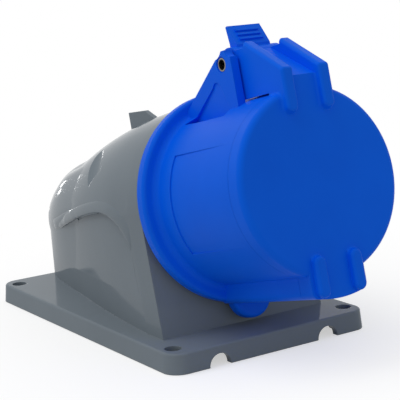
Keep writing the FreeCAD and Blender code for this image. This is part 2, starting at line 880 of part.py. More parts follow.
def lid_spring():
    """Torsion spring round the pin: one leg down to the collar and one in the lid's block."""
    half = size("CoilHalf")
    helix = doc.addObject("Part::Helix", "coil_path")
    bind(helix, "Height", half * 2)
    bind(helix, "Pitch", half * 2 / COIL_TURNS)
    bind(helix, "Radius", size("CoilRadius"))
    section = doc.addObject("Part::Circle", "coil_section")
    bind(section, "Radius", size("WireRadius"))
    section.Placement = FreeCAD.Placement(FreeCAD.Vector(size("CoilRadius").value, 0, 0),
                                          FreeCAD.Rotation(X_AXIS, 90))
    bind(section, "Placement.Base.x", size("CoilRadius"))
    doc.recompute()
    coil = doc.addObject("Part::Sweep", "coil")
    coil.Sections = [section]
    coil.Spine = (helix, [])
    coil.Solid = True
    coil.Frenet = True
    doc.recompute()
    turn = FreeCAD.Rotation(FreeCAD.Vector(0, 0, -1), FreeCAD.Vector(0, 1, 0), FreeCAD.Vector(1, 0, 0), "ZXY")
    coil.Placement = FreeCAD.Placement(
        FreeCAD.Vector(-half.value, size("PinUp").value, size("PinOut").value), turn)
    bind(coil, "Placement.Base.x", -half)
    bind(coil, "Placement.Base.y", size("PinUp"))
    bind(coil, "Placement.Base.z", size("PinOut"))
    wire = size("WireRadius")
    down = size("PinUp") - size("CollarRoot") - 1.5
    fixed = wire_leg("spring_fixed_leg", -half, 0, down, True, wire)
    moving = wire_leg("spring_lid_leg", half, LEG_TURN, size("LidLeg"), False, wire * 0.96)
    joined = boolean("Fuse", "coil_and_leg", coil, fixed)
    return on_axis(boolean("Fuse", "lid_spring", joined, moving))


def grip_rib(step):
    """Side view of one raised bar on the tab's face, that far below its top edge."""
    down, out = -0.854, 0.520
    top = (size("PinUp") + 13.8 + step * down, size("PinOut") - 2.7 + step * out)
    low = (top[0] + 0.9 * down, top[1] + 0.9 * out)
    rise = (0.7 * out, -0.7 * down)
    sink = (-0.5 * out, 0.5 * down)
    return [(top[0] + sink[0], top[1] + sink[1]), (top[0] + rise[0], top[1] + rise[1]),
            (low[0] + rise[0], low[1] + rise[1]), (low[0] + sink[0], low[1] + sink[1])]


def low_ribs(owner, front, proud):
    """Two round-ended bars at the foot of the cover."""
    top = size("CollarRadius") - 9.1
    foot = size("RidgeRadius") - 0.8
    face = sketch(owner, base=(0, 0, front - 1))
    for side in (-1, 1):
        inner = side * size("RibInner")
        outer = side * size("BlockHalf")
        round_end = size("RibWidth") * 0.505
        left, right = (outer, inner) if side < 0 else (inner, outer)
        shoulder = -top - round_end
        heel = round_end - foot
        outline(face, [(left, heel, round_end), (right, heel),
                       (right, shoulder, round_end), (left, shoulder)])
    pad(owner, face, proud - front + 1)


def spots_on(edge):
    """Both ends and the middle of an edge."""
    return [edge.valueAt(edge.FirstParameter), middle(edge), edge.valueAt(edge.LastParameter)]


def on_rib_top(edge):
    """Whether an edge runs round the crest of one of the cover's upper ribs."""
    proud = size("LidFront").value + size("RibProud").value
    return all(spot.z > proud - 0.01 and spot.y > 0 for spot in spots_on(edge))


def on_rib_end(edge):
    """Whether an edge is a corner of an upper rib's lower end."""
    spots = spots_on(edge)
    front = size("LidFront").value
    low = size("CollarRadius").value - 8
    climbs = abs(spots[0].z - spots[2].z) > size("RibProud").value - 0.1
    return climbs and 0 < spots[1].y < low and spots[1].z > front and abs(spots[0].x - spots[2].x) < 0.01


def on_rib_foot(edge):
    """Whether an edge is where a rib meets the cover's face."""
    front = size("LidFront").value
    half = size("BlockHalf").value + 0.1
    rim = size("CollarRadius").value - size("LidRound").value - 0.5
    spots = spots_on(edge)
    flat = all(abs(spot.z - front) < 0.01 for spot in spots)
    return flat and all(abs(spot.x) < half and abs(spot.y) < rim for spot in spots)


def on_slope(edge):
    """Whether an edge is one of the slanted crests that run from the cover back over the hinge."""
    first = edge.valueAt(edge.FirstParameter)
    last = edge.valueAt(edge.LastParameter)
    high = max((first, last), key=lambda spot: spot.z)
    low = min((first, last), key=lambda spot: spot.z)
    proud = size("LidFront").value + size("RibProud").value
    return abs(first.x - last.x) < 0.01 and abs(high.z - proud) < 0.1 and low.y > size("PinUp").value + 5


def lid():
    """Round cover with its skirt, ribs, hinge block and thumb tab."""
    owner = on_axis(body("lid"))
    front = size("LidFront")
    back = size("CollarEnd") + size("LidGap")
    inside = front - size("LidPlate")
    radius = size("CollarRadius")
    up = size("PinUp")
    out = size("PinOut")
    turned(owner, [(0, back), (radius, back), (radius, front), (0, front)])
    face = sketch(owner, base=(0, 0, back))
    lip = channel(face, size("RidgeHalf"), size("RidgeRadius"), size("RidgeCorner"))
    pad(owner, lip, front - back)
    soften(owner, size("LidRound"), lambda edge: on_circle(edge, radius.value, front.value))
    proud = front + size("RibProud")
    inner = size("RibInner")
    outer = size("BlockHalf")
    low_ribs(owner, front, proud)
    crest = proud.value - 0.01
    soften(owner, size("RibRound"), lambda edge: middle(edge).z > crest)
    block = [(radius - 3.4, back), (radius - 3.4, out + 5.2), (radius + 0.6, out + 5.2), (up - 4, out + 4),
             (up, out), (up + 5.2, out + 1.5), (radius + 3.7, front), (radius - 3.4, front)]
    side_profile(owner, block, outer)
    rib = [(radius - 10, front - 1), (radius - 8.4, proud), (up - 6.7, proud), (up + 5.9, out + 9.9),
           (up + 3.9, out + 9.5), (up + 3.9, out + 2.3), (up - 0.5, out + 2.3),
           (radius + 1.2, back - 1.7), (radius - 3.4, back + 2)]
    side_profile(owner, rib, outer, inner)
    soften(owner, size("RibEndRound"), on_rib_end)
    soften(owner, size("RibRound"), lambda edge: on_rib_top(edge) or on_slope(edge))
    soften(owner, size("RibFoot"), on_rib_foot)
    barrel = circle(sketch(owner, "YZ_Plane"), up, out, size("BarrelRadius"))
    pad(owner, barrel, outer * 2, Midplane=True)
    tab = [(up + 3.5, out + 1.9), (up + 3.5, out - 2.8), (up + 7.1, out - 2.6), (up + 13.5, out - 3.6),
           (up + 13.8, out - 2.7), (up + 6.4, out + 1.8)]
    side_profile(owner, tab, size("TabHalf"))
    for step in (2.1, 4.1, 6.1):
        side_profile(owner, grip_rib(step), size("TabHalf") - 2.2)
    clear = circle(sketch(owner), 0, 0, radius + size("LidClear"))
    pocket(owner, clear, back - 0.05, Reversed=True)
    hollow = circle(sketch(owner, base=(0, 0, back - 1)), 0, 0, size("LipRadius") + 0.3)
    pocket(owner, hollow, inside - back + 1, Reversed=True)
    room = circle(sketch(owner, "YZ_Plane"), up, out, size("PinRadius") + 2.1)
    pocket(owner, room, size("SpringRoom") * 2, Midplane=True)
    slot = sketch(owner, "YZ_Plane")
    reach = size("BarrelRadius") + 0.2
    outline(slot, [(up, out - reach), (up, out + 3), (radius - 3.4, out + 3), (radius - 3.4, out - reach)])
    pocket(owner, slot, size("SpringRoom") * 2, Midplane=True)
    leg_up, leg_out = coil_point(LEG_TURN)
    leg_base = (size("CoilHalf"), leg_up, leg_out)
    leg_face = sketch(owner, base=leg_base, axis=X_AXIS, angle=LEG_TURN - 90)
    leg_hole = circle(leg_face, 0, 0, size("WireRadius") + 0.25)
    pocket(owner, leg_hole, size("LidLeg") + 1, Reversed=True)
    pin_bore(owner, size("PinRadius") + size("RunningGap"))
    return owner


def lid_gasket():
    """Flat rubber ring inside the lid, facing the collar's lip."""
    owner = on_axis(body("lid_gasket"))
    inside = size("LidFront") - size("LidPlate")
    ring(owner, size("CollarBore") - 1.0, size("LipRadius") + 0.2, inside - 1.0, inside)
    return owner


def contact_places():
    """Name, angle and pin radius of the three contacts; earth is at the keyway."""
    line = size("LinePin")
    return [("earth", 270, size("EarthPin")), ("live", 30, line), ("neutral", 150, line)]


def contact_spot(angle):
    reach = size("ContactCircle")
    turn = as_size(angle)
    return reach * cosine(turn), reach * sine(turn)


def contact_carrier():
    """Insulating cylinder with three pin holes, standing on the flange and passing through it."""
    owner = on_axis(body("contact_carrier"))
    flange = size("FlangeThick")
    front = size("CarrierFront")
    edge = size("CarrierEdge")
    turned(owner, [(0, CAP_FRONT), (size("BossRadius"), CAP_FRONT), (size("BossRadius"), flange),
                   (size("CarrierRadius"), flange), (size("CarrierRadius"), front - edge),
                   (size("CarrierRadius") - edge, front), (0, front)])
    for _, angle, pin in contact_places():
        x, y = contact_spot(angle)
        shell = pin + size("SleeveWall")
        cell = circle(sketch(owner, base=(0, 0, front)), x, y, shell + size("CellEdge"))
        pocket(owner, cell, front - size("CellFloor"))
        guide = circle(sketch(owner, base=(0, 0, front)), x, y, shell + size("SleeveGap"))
        pocket(owner, guide, BIG)
    tie = sketch(owner, base=(0, 0, CAP_FRONT))
    for x, y in tie_places():
        circle(tie, x, y, size("TiePilot"))
    pocket(owner, tie, size("TieDepth"), Reversed=True)
    return owner


def tie_places():
    reach = size("BossRadius") - size("TieInset")
    return [(reach * cosine(as_size(turn)), reach * sine(as_size(turn))) for turn in TIE_ANGLES]


def rear_cap():
    """Disc behind the flange that grips it against the carrier and holds the terminals."""
    owner = on_axis(body("rear_cap"))
    ring(owner, None, size("CapRadius"), CAP_REAR, CAP_FRONT)
    for _, angle, pin in contact_places():
        x, y = contact_spot(angle)
        shell = pin + size("SleeveWall") + size("SleeveGap")
        through = circle(sketch(owner, base=(0, 0, CAP_REAR)), x, y, shell)
        pocket(owner, through, BIG, Reversed=True)
        seat = circle(sketch(owner, base=(0, 0, CAP_REAR)), x, y, shell + size("BarrelWall"))
        pocket(owner, seat, size("BarrelSink"), Reversed=True)
    tie = sketch(owner, base=(0, 0, CAP_REAR))
    for x, y in tie_places():
        circle(tie, x, y, size("TieHole"))
    pocket(owner, tie, BIG, Reversed=True)
    return owner


def contact_sleeve(name, angle, pin):
    """Split brass tube for one plug pin, with a terminal barrel at its rear."""
    owner = on_axis(body("contact_sleeve_" + name))
    x, y = contact_spot(angle)
    shell = pin + size("SleeveWall")
    tube = circle(sketch(owner, base=(0, 0, BARREL_FRONT)), x, y, shell)
    pad(owner, tube, SLEEVE_FRONT - BARREL_FRONT)
    barrel = circle(sketch(owner, base=(0, 0, BARREL_REAR)), x, y, shell + size("BarrelWall"))
    pad(owner, barrel, BARREL_FRONT - BARREL_REAR)
    bore = circle(sketch(owner, base=(0, 0, SLEEVE_FRONT)), x, y, pin)
    pocket(owner, bore, SLEEVE_FRONT - size("SleeveFloor"))
    wire_way = circle(sketch(owner, base=(0, 0, BARREL_REAR)), x, y, size("WireHole"))
    pocket(owner, wire_way, size("BarrelLength") + 2, Reversed=True)
    face = radial_sketch(owner, angle, as_size(0.5), CLAMP_DEPTH)
    clamp = circle(face, 0, 0, size("ClampRadius") + size("SleeveGap"))
    pocket(owner, clamp, 12, Reversed=True)
    slits = sketch(owner, base=(0, 0, SLEEVE_FRONT))
    half = size("SlitHalf")
    rectangle(slits, x - shell - 1, y - half, x + shell + 1, y + half)
    pocket(owner, slits, size("SlitDepth"))
    return owner


def sleeve_spring(name, angle, pin):
    """Steel ring that keeps the split end of a sleeve closed on its pin."""
    owner = on_axis(body("sleeve_spring_" + name))
    x, y = contact_spot(angle)
    shell = pin + size("SleeveWall")
    width = size("BandWidth")
    face = sketch(owner, base=(0, 0, SLEEVE_FRONT - width - 2))
    circle(face, x, y, shell + size("BandEdge"))
    circle(face, x, y, shell)
    pad(owner, face, width)
    return owner


def screw(label, place, seat, point, shank, head, crown_height):
    """A pan-head screw along the socket's axis, its slotted head towards the wall."""
    owner = on_axis(body(label))
    x, y = place
    crown = circle(sketch(owner, base=(0, 0, seat - crown_height)), x, y, head)
    pad(owner, crown, crown_height)
    stem = circle(sketch(owner, base=(0, 0, seat)), x, y, shank)
    pad(owner, stem, point - seat)
    slot = sketch(owner, base=(0, 0, seat - crown_height))
    half = size("SlitHalf")
    rectangle(slot, x - head - 1, y - half, x + head + 1, y + half)
    pocket(owner, slot, crown_height / 2, Reversed=True)
    return owner


def flange_screws():
    """Four self-tapping screws from inside the hood into the flange."""
    seat = -(size("HoodFront") + size("Wall"))
    names = ("lower_left", "upper_left", "lower_right", "upper_right")
    build = (seat, size("ScrewEnd"), size("ScrewShank"), size("ScrewHead"), size("ScrewCrown"))
    places = zip(names, flange_screw_places())
    return [screw("flange_screw_" + name, place, *build) for name, place in places]


def cap_screws():
    """Two screws that draw the rear cap up to the carrier."""
    build = (CAP_REAR, size("TieEnd"), size("TieShank"), size("TieHead"), size("TieCrown"))
    places = zip(("left", "right"), tie_places())
    return [screw("cap_screw_" + name, place, *build) for name, place in places]


def radial_sketch(owner, angle, reach, depth):
    """A sketch square to the line out from a contact's centre, that far along it."""
    x, y = contact_spot(angle)
    turn = as_size(angle)
    base = (x + reach * cosine(turn), y + reach * sine(turn), depth)
    lean = FreeCAD.Vector(-math.sin(math.radians(angle)), math.cos(math.radians(angle)), 0)
    return sketch(owner, base=base, axis=lean, angle=90)


def terminal_screw(name, angle, pin):
    """Slotted screw that clamps a wire in its barrel, standing out from the middle of the group."""
    owner = on_axis(body("terminal_screw_" + name))
    outer = pin + size("SleeveWall") + size("BarrelWall")
    start = as_size(1.0)
    radius = size("ClampRadius")
    top = outer + size("ClampProud")
    half = size("SlitHalf")
    stem = circle(radial_sketch(owner, angle, start, CLAMP_DEPTH), 0, 0, radius)
    pad(owner, stem, top - start)
    slot = radial_sketch(owner, angle, top, CLAMP_DEPTH)
    rectangle(slot, -radius - 1, -half, radius + 1, half)
    pocket(owner, slot, radius / 2)
    return owner


pieces = [
    housing(),
    flange_gasket(),
    socket_body(),
    hinge_pin(),
    lid_spring(),
    lid(),
    lid_gasket(),
    contact_carrier(),
    rear_cap(),
]
for contact in contact_places():
    pieces += [contact_sleeve(*contact), sleeve_spring(*contact), terminal_screw(*contact)]
pieces += flange_screws() + cap_screws()
doc.recompute()

for thing in doc.Objects:
    if "Invalid" in thing.State or "Error" in thing.State:
        raise RuntimeError("%s has not computed" % thing.Label)
for piece in pieces:
    if piece.Shape.isNull() or not piece.Shape.isValid():
        raise RuntimeError("%s has no valid shape" % piece.Label)

os.makedirs("parts", exist_ok=True)
for piece in pieces:
    piece.Shape.exportStep("parts/%s.step" % piece.Label)
    print(piece.Label, round(piece.Shape.Volume), "mm3,", len(piece.Shape.Solids), "solid")
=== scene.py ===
# %% [markdown]
# Industrial wall socket: a grey housing that screws to a wall and a blue round socket with a sprung lid.
# The solids come from the CAD part. This lesson dresses them: it gives every piece its moulded or
# machined finish, adds the small forms that the solid model leaves out, and sets the light and the camera.

# %% Load the solid model
import math

import bmesh
import bpy
from mathutils import Matrix, Vector


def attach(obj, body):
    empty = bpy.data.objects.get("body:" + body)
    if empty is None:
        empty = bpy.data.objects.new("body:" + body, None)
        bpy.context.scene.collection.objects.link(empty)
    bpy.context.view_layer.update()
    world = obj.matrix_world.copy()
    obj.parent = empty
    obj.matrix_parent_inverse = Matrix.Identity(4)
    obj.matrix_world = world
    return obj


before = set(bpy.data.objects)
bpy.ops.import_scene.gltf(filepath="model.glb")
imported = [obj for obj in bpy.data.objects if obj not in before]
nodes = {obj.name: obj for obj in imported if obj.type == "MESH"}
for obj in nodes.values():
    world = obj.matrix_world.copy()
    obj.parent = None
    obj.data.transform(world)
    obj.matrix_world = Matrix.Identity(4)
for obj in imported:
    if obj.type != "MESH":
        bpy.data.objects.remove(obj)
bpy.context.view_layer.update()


# %% [markdown]
# All materials here are node trees. A moulded surface is never one flat colour: it has a faint change of
# tone from the way the melt flowed, a fine spark-eroded grain, and edges that catch the light because no
# mould has a knife edge. The Bevel node gives that last one: it rounds the shading of each edge by a set
# radius and leaves the mesh as it is, which suits CAD solids, whose meshes must not change.

# %% Helpers for node trees
def add_node(tree, kind, **values):
    """A node with its inputs, or its properties, set by name."""
    made = tree.nodes.new(kind)
    for name, value in values.items():
        label = name.replace("_", " ").title()
        if label in made.inputs:
            made.inputs[label].default_value = value
        else:
            setattr(made, name, value)
    return made


def srgb(red, green, blue):
    """A screen colour in 0 to 255 as the linear colour that a shader takes."""
    linear = []
    for part in (red, green, blue):
        part = part / 255
        linear.append(part / 12.92 if part <= 0.04045 else ((part + 0.055) / 1.055) ** 2.4)
    return (*linear, 1.0)


def mottled(tree, light, dark, scale):
    """A soft mix of two tones on object coordinates."""
    where = add_node(tree, "ShaderNodeTexCoord")
    cloud = add_node(tree, "ShaderNodeTexNoise", scale=scale, detail=4.0, roughness=0.6)
    tone = add_node(tree, "ShaderNodeValToRGB")
    first, last = tone.color_ramp.elements
    first.position = 0.35
    first.color = dark
    last.position = 0.65
    last.color = light
    tree.links.new(where.outputs["Object"], cloud.inputs["Vector"])
    tree.links.new(cloud.outputs["Fac"], tone.inputs["Fac"])
    return where, cloud, tone


def grain(tree, where, scale, strength, depth, edge):
    """A fine bump, over softly rounded edges if edge isn't nought. Returns the socket with the normal."""
    speck = add_node(tree, "ShaderNodeTexNoise", scale=scale, detail=3.0, roughness=0.55)
    bump = add_node(tree, "ShaderNodeBump", strength=strength, distance=depth)
    tree.links.new(where.outputs["Object"], speck.inputs["Vector"])
    tree.links.new(speck.outputs["Fac"], bump.inputs["Height"])
    if edge:
        rounding = add_node(tree, "ShaderNodeBevel", radius=edge, samples=6)
        tree.links.new(rounding.outputs["Normal"], bump.inputs["Normal"])
    return bump.outputs["Normal"]


def new_material(name):
    """An empty node material: the material, its tree and its principled shader."""
    made = bpy.data.materials.new(name)
    made.use_nodes = True
    tree = made.node_tree
    return made, tree, tree.nodes["Principled BSDF"]


print("screen grey 128 in linear light:", round(srgb(128, 128, 128)[0], 3))


# %% [markdown]
# The housing and the socket are both injection mouldings in a tough nylon. Grey and blue differ in gloss:
# the grey one comes from a polished mould, so that small white glints stand on its rounded edges, and the
# blue one is a shade more matt. One recipe with different numbers makes both, so that they look like one
# maker's work. The Bevel node is a little grainy on a curved surface, so the pieces that this lesson adds,
# which are round by their own mesh, get the same grey without it.

# %% Moulded plastics
FLOW_SCALE = 14.0
GRAIN_SCALE = 2600.0
GRAIN_DEPTH = 0.00004
GLOSS_SPREAD = 0.02


def moulded(name, light, dark, roughness, specular, speckle, edge):
    """A moulded plastic in two near tones. Edge is the radius of its rounded edges in metres, or nought."""
    made, tree, shader = new_material(name)
    where, cloud, tone = mottled(tree, light, dark, FLOW_SCALE)
    tree.links.new(tone.outputs["Color"], shader.inputs["Base Color"])
    gloss = add_node(tree, "ShaderNodeMapRange")
    gloss.inputs["To Min"].default_value = roughness - GLOSS_SPREAD
    gloss.inputs["To Max"].default_value = roughness + GLOSS_SPREAD
    tree.links.new(cloud.outputs["Fac"], gloss.inputs["Value"])
    tree.links.new(gloss.outputs["Result"], shader.inputs["Roughness"])
    tree.links.new(grain(tree, where, GRAIN_SCALE, speckle, GRAIN_DEPTH, edge), shader.inputs["Normal"])
    shader.inputs["Specular IOR Level"].default_value = specular
    return made


grey_tones = (srgb(130, 140, 148), srgb(125, 135, 143))
housing_grey = moulded("housing_grey", *grey_tones,
                       roughness=0.10, specular=0.04, speckle=0.002, edge=0.0005)
rounded_grey = moulded("rounded_grey", *grey_tones,
                       roughness=0.10, specular=0.04, speckle=0.002, edge=0)
socket_blue = moulded("socket_blue", srgb(4, 106, 250), srgb(3, 100, 242),
                      roughness=0.44, specular=0.08, speckle=0.08, edge=0.00025)
carrier_blue = moulded("carrier_blue", srgb(24, 80, 180), srgb(20, 70, 164),
                       roughness=0.50, specular=0.20, speckle=0.20, edge=0.0003)
cap_black = moulded("cap_black", srgb(42, 43, 46), srgb(32, 33, 36),
                    roughness=0.50, specular=0.30, speckle=0.20, edge=0.0003)
print("plastics made")


# %% [markdown]
# Rubber is dark, dull and faintly dusty. Steel pins are drawn through a die, so their scratches run along
# them, and zinc-plated screws have a cloudy bluish tone. Brass contacts are turned: bright, with a slight
# tarnish where fingers touched them. Noise that is squeezed across one axis gives the scratches, and it
# drives the roughness, not the colour, as scratches do on a real pin.

# %% Rubber and metals
TARNISH_SCALE = 160.0
SCRATCH_SCALE = 180.0
BRIGHT = -0.1
WORN = 0.14
METAL_EDGE = 0.00015


def rubber(name):
    """A dark, dull rubber with a fine grain."""
    made, tree, shader = new_material(name)
    where, _, tone = mottled(tree, srgb(52, 52, 54), srgb(36, 36, 38), 60.0)
    tree.links.new(tone.outputs["Color"], shader.inputs["Base Color"])
    normal = grain(tree, where, scale=1500.0, strength=0.3, depth=0.00006, edge=0.0002)
    tree.links.new(normal, shader.inputs["Normal"])
    shader.inputs["Roughness"].default_value = 0.75
    return made


def metal(name, light, dark, roughness, squeeze):
    """A metal in two near tones. Squeeze is how many times longer than wide its scratches are."""
    made, tree, shader = new_material(name)
    where, _, tone = mottled(tree, light, dark, TARNISH_SCALE)
    tree.links.new(tone.outputs["Color"], shader.inputs["Base Color"])
    stretch = add_node(tree, "ShaderNodeMapping", scale=(1.0, squeeze, squeeze))
    lines = add_node(tree, "ShaderNodeTexNoise", scale=SCRATCH_SCALE, detail=4.0)
    wear = add_node(tree, "ShaderNodeMapRange")
    wear.inputs["To Min"].default_value = roughness + BRIGHT
    wear.inputs["To Max"].default_value = roughness + WORN
    tree.links.new(where.outputs["Object"], stretch.inputs["Vector"])
    tree.links.new(stretch.outputs["Vector"], lines.inputs["Vector"])
    tree.links.new(lines.outputs["Fac"], wear.inputs["Value"])
    tree.links.new(wear.outputs["Result"], shader.inputs["Roughness"])
    rounding = add_node(tree, "ShaderNodeBevel", radius=METAL_EDGE)
    tree.links.new(rounding.outputs["Normal"], shader.inputs["Normal"])
    shader.inputs["Metallic"].default_value = 1.0
    return made


seal_rubber = rubber("seal_rubber")
pin_steel = metal("pin_steel", srgb(150, 146, 136), srgb(126, 122, 114), roughness=0.34, squeeze=12.0)
screw_steel = metal("screw_steel", srgb(206, 206, 200), srgb(182, 186, 188), roughness=0.34, squeeze=3.0)
contact_brass = metal("contact_brass", srgb(226, 192, 116), srgb(200, 164, 92), roughness=0.26, squeeze=6.0)
print("rubber and metals made")


# %% [markdown]
# Every node of the CAD part gets one finish, chosen by its name. The springs and the hinge pin are left
# over at the end, and all of them are steel wire or steel strip.

# %% Finish of each node
def finish_for(node):
    """The material of a CAD node, by its name."""
    if node == "housing":
        return housing_grey
    if node in ("socket_body", "lid"):
        return socket_blue
    if node.endswith("gasket"):
        return seal_rubber
    if node == "contact_carrier":
        return carrier_blue
    if node == "rear_cap":
        return cap_black
    if node.startswith("contact_sleeve"):
        return contact_brass
    if "_screw_" in node:
        return screw_steel
    return pin_steel


for name, thing in nodes.items():
    thing.data.materials.clear()
    thing.data.materials.append(finish_for(name))
print("finishes given to", len(nodes), "nodes")


# %% [markdown]
# The hood's rear end is thicker than the rest, as a moulder makes it where the walls meet: near the crest
# the surface kinks outwards about 28 mm before the end, lower down it swells more softly, and everywhere
# it runs on almost level and turns into the rear face over a round edge. That is a rule along a path: a
# section that swells, rounds and closes, led up one wall, over the crest and down the other wall. Plain
# mesh code writes such a rule most clearly, ring by ring. First come the surfaces that it is laid on.

# %% The socket's own directions and the hood's measures, in metres
TILT = math.radians(12.874)
AXIS_SPOT = Vector((0.0, -0.04617, 0.05489))
RISE = Vector((0.0, math.sin(TILT), math.cos(TILT)))
BACK = Vector((0.0, math.cos(TILT), -math.sin(TILT)))
REAR_FACE = 0.0722
HOOD_RADIUS = 0.0372
HOOD_BOW = 0.312
HOOD_STRAIGHT = 0.012
FOOT_HEIGHT = 0.0038
FOOT_FRONT = 0.0366
FOOT_REAR = 0.0176
FOOT_START = -0.0453
FOOT_BULGE = 0.0092
DEPTH_ROUNDS = 20


def mix(first, last, share):
    """A value between two others."""
    return first + (last - first) * share


def hood_half(depth):
    """Half width of the hood at a depth behind the flange."""
    past = depth - HOOD_STRAIGHT
    return HOOD_RADIUS - HOOD_BOW + math.sqrt(HOOD_BOW ** 2 - past ** 2)


def hood_place(turn, forward):
    """A place on the hood, turned round the axis from the left, that far before the rear face."""
    depth = (REAR_FACE - forward - AXIS_SPOT.y) / BACK.y
    for _ in range(DEPTH_ROUNDS):
        height = hood_half(depth) * math.sin(turn)
        depth = (REAR_FACE - forward - AXIS_SPOT.y - height * RISE.y) / BACK.y
    half = hood_half(depth)
    sideways = Vector((-half * math.cos(turn), 0, 0))
    return AXIS_SPOT + BACK * depth + RISE * (half * math.sin(turn)) + sideways


def wall_place(share, forward):
    """A place on the left wall, from its foot at nought to the height of the axis at one."""
    along = REAR_FACE - forward
    gone = (along - FOOT_START) / (REAR_FACE - FOOT_START)
    foot = mix(FOOT_FRONT, FOOT_REAR, gone) + FOOT_BULGE * gone * (1 - gone)
    depth = (along - AXIS_SPOT.y) / BACK.y
    top = AXIS_SPOT + BACK * depth
    return Vector((-mix(foot, hood_half(depth), share), along, mix(FOOT_HEIGHT, top.z, share)))


print("hood's half width at the rear, mm:", round(-hood_place(0.0, 0.0).x * 1000, 1))


# %% [markdown]
# Each station along the path has its own numbers: how far the surface stands out at the end, how far before
# the end it starts, and how deep its first ring is sunk. Over the walls it starts below the set-back panel,
# over the hood just under the skin, and between the two it changes over smoothly.

# %% Numbers of one station
FOOT_LIFT = 0.0011
WALL_LIFT = 0.00115
CREST_LIFT = 0.0031
SOFT_REACH = 0.052
CRISP_REACH = 0.0285
WALL_LEVEL = 0.006
CREST_LEVEL = 0.011
FOOT_SUNK = -0.0012
TOP_SUNK = 0.0019
LEAST_SUNK = 0.0001
CREST_SUNK = 0.00015
CREST_SOFTNESS = 0.3

# heights round the axis, in degrees, at which the numbers change over
LIFT_TURN = 58
CRISP_TURN = 42
CRISP_SPAN = 18
SUNK_TURN = 12
LEVEL_TURN = 40


def smooth(share):
    """A share from nought to one that starts and ends gently."""
    share = min(max(share, 0.0), 1.0)
    return share * share * (3 - 2 * share)


def station_numbers(share, turn):
    """Lift at the end, reach, distance over which it stays level, depth of the first ring, softness."""
    if turn is None:
        sunk = max(LEAST_SUNK, mix(FOOT_SUNK, TOP_SUNK, share))
        return mix(FOOT_LIFT, WALL_LIFT, share), SOFT_REACH, WALL_LEVEL, sunk, 1.0
    height = math.degrees(min(turn, math.pi - turn))
    lift = mix(WALL_LIFT, CREST_LIFT, min(height / LIFT_TURN, 1.0))
    crisp = smooth((height - CRISP_TURN) / CRISP_SPAN)
    reach = mix(SOFT_REACH, CRISP_REACH, crisp)
    sunk = mix(TOP_SUNK, CREST_SUNK, smooth(height / SUNK_TURN))
    level = mix(WALL_LEVEL, CREST_LEVEL, smooth(height / LEVEL_TURN))
    return lift, reach, level, sunk, mix(1.0, CREST_SOFTNESS, crisp)


print("numbers at the foot:", station_numbers(0.0, None))
print("numbers at the crest:", station_numbers(1.0, math.pi / 2))


# %% [markdown]
# A section starts with its sunk ring, rises to the lift, and runs on until a round of 6 mm fits between it
# and the rear face. The round is an arc from there into the face, and three more rings lie on the face,
# a hair behind it, so that the two skins don't flicker.

# %% Section at one station
EDGE_ROUND = 0.006
FLAT_STEPS = 30
ROUND_STEPS = 12
FACE_GAP = 0.00004
FACE_RINGS = ((-0.006, 0.0), (-0.0085, 0.0), (-0.0098, -0.0004))


def section(share, turn, side=-1):
    """Places of the section from its first ring over the rounded edge into the rear face."""
    lift, reach, level, sunk, softness = station_numbers(share, turn)
    outward = Vector((-1.0, 0.0, 0.0)) if turn is None else Vector((-math.cos(turn), 0.0, math.sin(turn)))
    flat = []
    for step in range(FLAT_STEPS + 1):
        forward = reach * (1 - step / FLAT_STEPS)
        grown = min((reach - forward) / (reach - level), 1.0)
        grown = mix(grown, smooth(grown), softness)
        place = wall_place(share, forward) if turn is None else hood_place(turn, forward)
        flat.append((place, mix(-sunk, lift, grown)))
    end = flat[-1][0]
    line = [(place.y - REAR_FACE, (place - end).dot(outward) + rise) for place, rise in flat]
    stop = len(line) - 1
    for index in range(1, len(line)):
        (y0, n0), (y1, n1) = line[index - 1], line[index]
        length = math.hypot(y1 - y0, n1 - n0)
        normal = ((n0 - n1) / length, (y1 - y0) / length)
        hub = (y1 - normal[0] * EDGE_ROUND, n1 - normal[1] * EDGE_ROUND)
        if hub[0] > -EDGE_ROUND:
            stop = index
            break
    places = [place + outward * rise for place, rise in flat[:stop]]
    places += [places[-1]] * (FLAT_STEPS - len(places))
    bend = math.atan2(normal[1], normal[0])
    for step in range(ROUND_STEPS + 1):
        angle = bend * (1 - step / ROUND_STEPS)
        spot = end + outward * (hub[1] + EDGE_ROUND * math.sin(angle))
        places.append(Vector((spot.x, REAR_FACE - EDGE_ROUND + EDGE_ROUND * math.cos(angle), spot.z)))
    for out, back in FACE_RINGS:
        spot = end + outward * out
        places.append(Vector((spot.x, REAR_FACE + FACE_GAP + back, spot.z)))
    if side > 0:
        places = [Vector((-place.x, place.y, place.z)) for place in places]
    return places


print("places in one section:", len(section(1.0, None)))


# %% [markdown]
# The sections are joined to one skin: up the left wall, round the hood and down the right wall. Rings that
# fall together are merged and the faces are turned outwards, because the skin is a new mesh and not a
# CAD node's.

# %% Rear end of the hood
LOWEST_SHARE = 0.06
WALL_RINGS = 24
HOOD_RINGS = 72
MERGE_DISTANCE = 0.000005


def placed(name, data):
    """A new object in the scene, at the origin."""
    made = bpy.data.objects.new(name, data)
    bpy.context.collection.objects.link(made)
    return made


def skin_faces(rows, columns):
    """Four-cornered faces between rows of places."""
    faces = []
    for row in range(rows - 1):
        for step in range(columns - 1):
            first = row * columns + step
            after = first + columns
            faces.append((first, first + 1, after + 1, after))
    return faces


